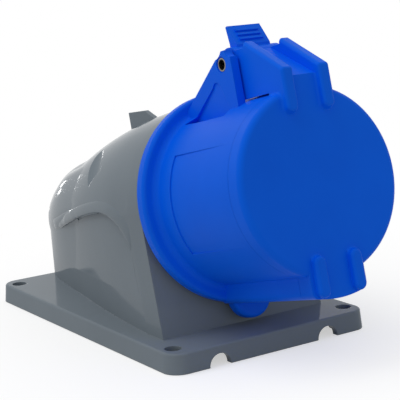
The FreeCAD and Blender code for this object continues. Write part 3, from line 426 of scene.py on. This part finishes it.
wall_shares = [LOWEST_SHARE + (1 - LOWEST_SHARE) * step / WALL_RINGS for step in range(WALL_RINGS)]
rings = [section(share, None) for share in wall_shares]
rings += [section(1.0, math.pi * step / HOOD_RINGS) for step in range(HOOD_RINGS + 1)]
rings += [section(share, None, 1) for share in reversed(wall_shares)]
faces = skin_faces(len(rings), len(rings[0]))
mesh = bpy.data.meshes.new("hood_rear_end")
mesh.from_pydata([place for ring in rings for place in ring], [], faces)
mesh.polygons.foreach_set("use_smooth", [True] * len(faces))
shaped = bmesh.new()
shaped.from_mesh(mesh)
bmesh.ops.remove_doubles(shaped, verts=shaped.verts, dist=MERGE_DISTANCE)
bmesh.ops.recalc_face_normals(shaped, faces=shaped.faces)
crest = max(shaped.faces, key=lambda face: face.calc_center_median().z)
if crest.normal.z < 0:
    bmesh.ops.reverse_faces(shaped, faces=shaped.faces)
shaped.to_mesh(mesh)
shaped.free()
mesh.materials.append(rounded_grey)
rear_end = placed("hood_rear_end", mesh)
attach(rear_end, "base")
print("rear end faces:", len(mesh.polygons))


# %% [markdown]
# The walls of the housing are set back under the hood, and the hood ends above them in a rolled lip: a
# low band, four to five millimetres high, that follows the arch of the step. It could be pulled from the
# housing's mesh, but that mesh is the CAD's. It repeats a rule instead: a band between two lines, laid on
# whatever surface is beneath it. Geometry Nodes do that well. A grid is spread between the two lines,
# every point of it is sent sideways onto the housing, and it is lifted there by the band's profile.

# %% Lines of the lip

# height above the socket's axis and depth behind its flange, in millimetres
LOWER_LINE = [(-13.2, 15.9), (-8.0, 18.4), (-2.6, 23.6), (1.3, 30.6), (2.95, 38.5), (3.0, 47.0),
              (2.6, 58.0), (1.9, 70.0), (0.8, 83.0), (-0.45, 95.0), (-0.7, 100.0), (-0.5, 104.0)]
UPPER_LINE = [(-12.9, 15.3), (-8.2, 14.0), (-3.5, 14.2), (1.2, 18.4), (5.4, 26.6), (7.4, 36.0), (7.8, 46.0),
              (7.4, 58.0), (6.6, 70.0), (5.6, 83.0), (4.4, 95.0), (4.0, 100.0), (3.6, 104.0)]


def side_line(points):
    """Points of a side view as places in the frame, on the mirror plane."""
    return [AXIS_SPOT + RISE * (up / 1000) + BACK * (depth / 1000) for up, depth in points]


def add_spline(curve, places):
    """A smooth spline through the curve's own control points."""
    spline = curve.splines.new("NURBS")
    spline.points.add(len(places) - 1)
    for point, place in zip(spline.points, places):
        point.co = (*place, 1.0)
    spline.order_u = 3
    spline.use_endpoint_u = True


lip_curve = bpy.data.curves.new("lip_lines", "CURVE")
lip_curve.dimensions = "3D"
lip_curve.resolution_u = 12
add_spline(lip_curve, side_line(LOWER_LINE))
add_spline(lip_curve, side_line(UPPER_LINE))
print("lip lines:", len(lip_curve.splines))


# %% [markdown]
# A node tree that is written out link by link soon hides what it does. These helpers make one node each,
# link what they are given and hand back its output, so that the tree below reads like a sum.

# %% Helpers for geometry nodes
def feed(tree, socket, value):
    """Gives an input another node's output or a plain value."""
    if isinstance(value, bpy.types.NodeSocket):
        tree.links.new(value, socket)
    else:
        socket.default_value = value


def worked_out(tree, kind, operation, *terms, **values):
    """The output of a math node on its terms."""
    node = add_node(tree, kind, operation=operation, **values)
    for socket, term in zip(node.inputs, terms):
        feed(tree, socket, term)
    return node.outputs[0]


def hump(tree, share, places):
    """A curve over nought to one that is nought at both ends and runs through the places between."""
    node = add_node(tree, "ShaderNodeFloatCurve")
    points = node.mapping.curves[0].points
    for place in places:
        points.new(*place)
    points[0].location = (0.0, 0.0)
    points[-1].location = (1.0, 0.0)
    node.mapping.update()
    tree.links.new(share, node.inputs["Value"])
    return node.outputs[0]


def socket_id(tree, label):
    """The identifier of a tree's input, by its name."""
    for item in tree.interface.items_tree:
        if item.name == label and item.in_out == "INPUT":
            return item.identifier
    raise KeyError(label)


print("helpers ready for the lip's tree")


# %% [markdown]
# The tree takes the two lines as its geometry and has named inputs for the housing, the side, the band's
# height above the surface and the number of steps. The profile is a curve over the band's width: it starts
# just under the surface, turns up sharply at the lower edge and comes down in a long soft round above. A
# second curve lets the band run out at both ends.

# %% Node tree of the lip
LIP_INPUTS = (("Lines", "NodeSocketGeometry"), ("Surface", "NodeSocketObject"), ("Side", "NodeSocketFloat"),
              ("Lift", "NodeSocketFloat"), ("Steps", "NodeSocketInt"))
ACROSS_POINTS = 25
RAY_START = 0.06
LIP_PROFILE = ((0.03, 0.55), (0.10, 0.85), (0.30, 1.0), (0.55, 0.88), (0.82, 0.50))
LIP_SUNK = 0.15
LIP_ENDS = ((0.16, 1.0), (0.93, 1.0))


def grid_shares(tree):
    """How far along and how far across the grid each point is, from nought to one."""
    spot = add_node(tree, "GeometryNodeInputPosition")
    parts = add_node(tree, "ShaderNodeSeparateXYZ")
    tree.links.new(spot.outputs[0], parts.inputs[0])
    return [worked_out(tree, "ShaderNodeMath", "ADD", parts.outputs[label], 0.5, use_clamp=True)
            for label in ("X", "Y")]


def place_between(tree, begin, along, across):
    """The place between the two lines for a point of the grid."""
    between = add_node(tree, "ShaderNodeMix", data_type="VECTOR")
    tree.links.new(across, between.inputs["Factor"])
    for index, target in ((0, 4), (1, 5)):
        row = add_node(tree, "GeometryNodeSampleCurve", mode="FACTOR")
        row.inputs["Curve Index"].default_value = index
        tree.links.new(begin.outputs["Lines"], row.inputs["Curves"])
        tree.links.new(along, row.inputs["Factor"])
        tree.links.new(row.outputs["Position"], between.inputs[target])
    return between.outputs[1]


def sideways_hit(tree, begin, between):
    """The ray from outside onto the surface, through the place between the lines."""
    outward = add_node(tree, "ShaderNodeCombineXYZ")
    tree.links.new(begin.outputs["Side"], outward.inputs["X"])
    start = worked_out(tree, "ShaderNodeVectorMath", "MULTIPLY_ADD",
                       outward.outputs[0], (RAY_START,) * 3, between)
    inward = add_node(tree, "ShaderNodeVectorMath", operation="SCALE")
    inward.inputs["Scale"].default_value = -1.0
    tree.links.new(outward.outputs[0], inward.inputs[0])
    target = add_node(tree, "GeometryNodeObjectInfo", transform_space="RELATIVE")
    tree.links.new(begin.outputs["Surface"], target.inputs["Object"])
    ray = add_node(tree, "GeometryNodeRaycast")
    ray.inputs["Ray Length"].default_value = RAY_START
    tree.links.new(target.outputs["Geometry"], ray.inputs["Target Geometry"])
    tree.links.new(start, ray.inputs["Source Position"])
    tree.links.new(inward.outputs[0], ray.inputs["Ray Direction"])
    return ray


def lifted_place(tree, begin, ray, along, across):
    """The hit, lifted along the surface's normal by the band's profile."""
    sunk = worked_out(tree, "ShaderNodeMath", "SUBTRACT", hump(tree, across, LIP_PROFILE), LIP_SUNK)
    faded = worked_out(tree, "ShaderNodeMath", "MULTIPLY", sunk, hump(tree, along, LIP_ENDS))
    lift = worked_out(tree, "ShaderNodeMath", "MULTIPLY", faded, begin.outputs["Lift"])
    raised = add_node(tree, "ShaderNodeVectorMath", operation="SCALE")
    tree.links.new(ray.outputs["Hit Normal"], raised.inputs[0])
    tree.links.new(lift, raised.inputs["Scale"])
    return worked_out(tree, "ShaderNodeVectorMath", "ADD", ray.outputs["Hit Position"], raised.outputs[0])


def lip_tree(material):
    """The whole tree: a grid, laid between the lines on the surface and lifted by the profile."""
    tree = bpy.data.node_groups.new("lip_band", "GeometryNodeTree")
    for label, kind in LIP_INPUTS:
        tree.interface.new_socket(name=label, in_out="INPUT", socket_type=kind)
    tree.interface.new_socket(name="Band", in_out="OUTPUT", socket_type="NodeSocketGeometry")
    begin = add_node(tree, "NodeGroupInput")
    end = add_node(tree, "NodeGroupOutput")
    grid = add_node(tree, "GeometryNodeMeshGrid", size_x=1.0, size_y=1.0, vertices_y=ACROSS_POINTS)
    tree.links.new(begin.outputs["Steps"], grid.inputs["Vertices X"])
    along, across = grid_shares(tree)
    ray = sideways_hit(tree, begin, place_between(tree, begin, along, across))
    laid = add_node(tree, "GeometryNodeSetPosition")
    tree.links.new(grid.outputs["Mesh"], laid.inputs["Geometry"])
    tree.links.new(lifted_place(tree, begin, ray, along, across), laid.inputs["Position"])
    other = add_node(tree, "FunctionNodeCompare", data_type="FLOAT", operation="GREATER_THAN")
    tree.links.new(begin.outputs["Side"], other.inputs[0])
    turned = add_node(tree, "GeometryNodeFlipFaces")
    tree.links.new(laid.outputs["Geometry"], turned.inputs["Mesh"])
    tree.links.new(other.outputs[0], turned.inputs["Selection"])
    shaded = add_node(tree, "GeometryNodeSetShadeSmooth")
    tree.links.new(turned.outputs["Mesh"], shaded.inputs["Geometry"])
    real = add_node(tree, "GeometryNodeRealizeInstances")
    tree.links.new(shaded.outputs["Geometry"], real.inputs["Geometry"])
    finish = add_node(tree, "GeometryNodeSetMaterial", material=material)
    tree.links.new(real.outputs["Geometry"], finish.inputs["Geometry"])
    tree.links.new(finish.outputs["Geometry"], end.inputs["Band"])
    return tree


band_tree = lip_tree(rounded_grey)
print("nodes in the lip's tree:", len(band_tree.nodes))


# %% [markdown]
# The same tree makes both lips: only the side differs. The surface below them is the housing together with
# the rear end from above, joined in an object that is removed again once both lips are plain meshes.

# %% Lips on both sides of the hood
def laid_band(name, tree, curve, **settings):
    """Runs the tree on the lines and keeps the result as a plain mesh object."""
    source = placed(name + "_lines", curve)
    nodes_modifier = source.modifiers.new("band", "NODES")
    nodes_modifier.node_group = tree
    for label, value in settings.items():
        nodes_modifier[socket_id(tree, label)] = value
    ready = source.evaluated_get(bpy.context.evaluated_depsgraph_get())
    mesh = bpy.data.meshes.new_from_object(ready)
    mesh.name = name
    source.modifiers.clear()
    bpy.data.objects.remove(source)
    return placed(name, mesh)


under = bpy.data.objects.new("lip_ground", nodes["housing"].data.copy())
shaped = bmesh.new()
shaped.from_mesh(under.data)
shaped.from_mesh(rear_end.data)
shaped.to_mesh(under.data)
shaped.free()
bpy.context.collection.objects.link(under)
for side, name in ((-1.0, "hood_lip_left"), (1.0, "hood_lip_right")):
    lip = laid_band(name, band_tree, lip_curve, Surface=under, Side=side, Lift=0.00060, Steps=161)
    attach(lip, "base")
    print(name, "faces:", len(lip.data.polygons))
bpy.data.objects.remove(under)


# %% [markdown]
# The part stands in a plain studio, on a pale floor before a white background. To the camera the floor
# blends into pure white away from the part, and only a soft shadow is left round it. To all other rays it
# is a mid grey, so that it doesn't light the part from below more than a table would.

# %% Floor
TABLE_GREY = (0.68, 0.68, 0.68, 1)
PALE_GREY = (0.66, 0.66, 0.66, 1)
FLOOR_GLOW = 0.52
FADE_START = 0.05
FADE_END = 0.19


def flat_plane(name, half, height):
    """A square plane round the origin, at a height."""
    mesh = bpy.data.meshes.new(name)
    corners = [(-half, -half, height), (half, -half, height), (half, half, height), (-half, half, height)]
    mesh.from_pydata(corners, [], [(0, 1, 2, 3)])
    return placed(name, mesh)


def seen_rays(tree):
    """One where the camera sees a thing straight, in a mirror or through glass, and nought elsewhere."""
    path = add_node(tree, "ShaderNodeLightPath")
    first = worked_out(tree, "ShaderNodeMath", "MAXIMUM",
                       path.outputs["Is Camera Ray"], path.outputs["Is Glossy Ray"])
    return worked_out(tree, "ShaderNodeMath", "MAXIMUM", first, path.outputs["Is Transmission Ray"])


def floor_finish():
    """Grey for the part, pale with a glow for the camera, and white away from the part."""
    made, tree, shader = new_material("floor_white")
    tree.nodes.remove(shader)
    end = tree.nodes["Material Output"]
    table = add_node(tree, "ShaderNodeBsdfDiffuse", color=TABLE_GREY)
    pale = add_node(tree, "ShaderNodeBsdfDiffuse", color=PALE_GREY)
    glow = add_node(tree, "ShaderNodeEmission", strength=FLOOR_GLOW)
    near = add_node(tree, "ShaderNodeAddShader")
    white = add_node(tree, "ShaderNodeEmission", strength=1.0)
    where = add_node(tree, "ShaderNodeTexCoord")
    away = add_node(tree, "ShaderNodeVectorMath", operation="DISTANCE")
    fade = add_node(tree, "ShaderNodeMapRange", interpolation_type="SMOOTHSTEP")
    fade.inputs["From Min"].default_value = FADE_START
    fade.inputs["From Max"].default_value = FADE_END
    seen = add_node(tree, "ShaderNodeMixShader")
    final = add_node(tree, "ShaderNodeMixShader")
    tree.links.new(pale.outputs[0], near.inputs[0])
    tree.links.new(glow.outputs[0], near.inputs[1])
    tree.links.new(where.outputs["Object"], away.inputs[0])
    tree.links.new(away.outputs["Value"], fade.inputs["Value"])
    tree.links.new(fade.outputs["Result"], seen.inputs["Fac"])
    tree.links.new(near.outputs[0], seen.inputs[1])
    tree.links.new(white.outputs[0], seen.inputs[2])
    tree.links.new(seen_rays(tree), final.inputs["Fac"])
    tree.links.new(table.outputs[0], final.inputs[1])
    tree.links.new(seen.outputs[0], final.inputs[2])
    tree.links.new(final.outputs[0], end.inputs["Surface"])
    return made


floor = flat_plane("studio_floor", half=6.0, height=-0.0002)
floor.data.materials.append(floor_finish())
print("floor fades to white between", FADE_START, "and", FADE_END, "m from the origin")


# %% [markdown]
# The world is an even light from all round, as in a white tent. Seen by the camera, in a mirror or through
# glass it is pure white, and to the part's surfaces it is about half as bright, which keeps the shadows.

# %% World
EVEN_LIGHT = 0.49

world = bpy.data.worlds.new("studio")
bpy.context.scene.world = world
world.use_nodes = True
tree = world.node_tree
tree.nodes.clear()
even = add_node(tree, "ShaderNodeBackground", strength=EVEN_LIGHT, color=(1, 1, 1, 1))
white = add_node(tree, "ShaderNodeBackground", strength=1.0, color=(1, 1, 1, 1))
choose = add_node(tree, "ShaderNodeMixShader")
end = add_node(tree, "ShaderNodeOutputWorld")
tree.links.new(seen_rays(tree), choose.inputs["Fac"])
tree.links.new(even.outputs["Background"], choose.inputs[1])
tree.links.new(white.outputs["Background"], choose.inputs[2])
tree.links.new(choose.outputs["Shader"], end.inputs["Surface"])
print("even light:", EVEN_LIGHT)


# %% [markdown]
# A wide key lamp stands high on the left and gives the part its light and dark sides. A polished edge shows
# a glint where it mirrors a lamp, and the hood's rear edge turns away from the camera, so only a lamp low
# behind the part can stand in it. Two small ones do, one for the upper and one for the lower half of it.

# %% Lamps
def area_lamp(name, place, aim, power, width, height, mirrored=True):
    """A rectangular lamp. One that isn't mirrored lights the part but leaves no glint on it."""
    data = bpy.data.lights.new(name, "AREA")
    data.shape = "RECTANGLE"
    data.energy = power
    data.size = width
    data.size_y = height
    made = placed(name, data)
    made.location = place
    made.rotation_mode = "QUATERNION"
    made.rotation_quaternion = (Vector(aim) - Vector(place)).to_track_quat("-Z", "Y")
    made.visible_glossy = mirrored
    return made


centre = (0.0, -0.02, 0.05)
hood_end = (-0.03, 0.07, 0.065)
area_lamp("key_lamp", (-0.55, 0.15, 1.00), centre, power=3.9, width=0.8, height=0.8, mirrored=False)
area_lamp("rear_glint_upper", (0.17, 1.05, 0.045), hood_end, power=0.05, width=0.03, height=0.05)
area_lamp("rear_glint_lower", (0.10, 1.05, 0.018), hood_end, power=0.04, width=0.04, height=0.03)
print("lamps set")


# %% [markdown]
# The camera stands where the photograph was taken from: its place, direction and lens were found by
# fitting the plate's corners, the fixing holes, the flange and the lid.

# %% Camera
CAMERA_PLACE = (-0.27390, -0.45435, 0.14930)
CAMERA_ROLL = math.radians(-3.149)
SENSOR_WIDTH = 36.0
FOCAL_PIXELS = 1320.715
PICTURE_PIXELS = 400

view_dir = Vector((0.52867, 0.82736, -0.18969))
level = Vector((view_dir.y, -view_dir.x, 0)).normalized()
upward = level.cross(view_dir)
right = level * math.cos(CAMERA_ROLL) + upward * math.sin(CAMERA_ROLL)
up = upward * math.cos(CAMERA_ROLL) - level * math.sin(CAMERA_ROLL)
camera_data = bpy.data.cameras.new("camera")
camera_data.sensor_width = SENSOR_WIDTH
camera_data.lens = SENSOR_WIDTH * FOCAL_PIXELS / PICTURE_PIXELS
camera_data.clip_start = 0.01
camera = placed("camera", camera_data)
columns = Matrix((right, up, -view_dir)).transposed()
camera.matrix_world = Matrix.Translation(CAMERA_PLACE) @ columns.to_4x4()
bpy.context.scene.camera = camera
bpy.context.scene.view_settings.view_transform = "Standard"
print("camera set, lens in mm:", round(camera_data.lens, 1))
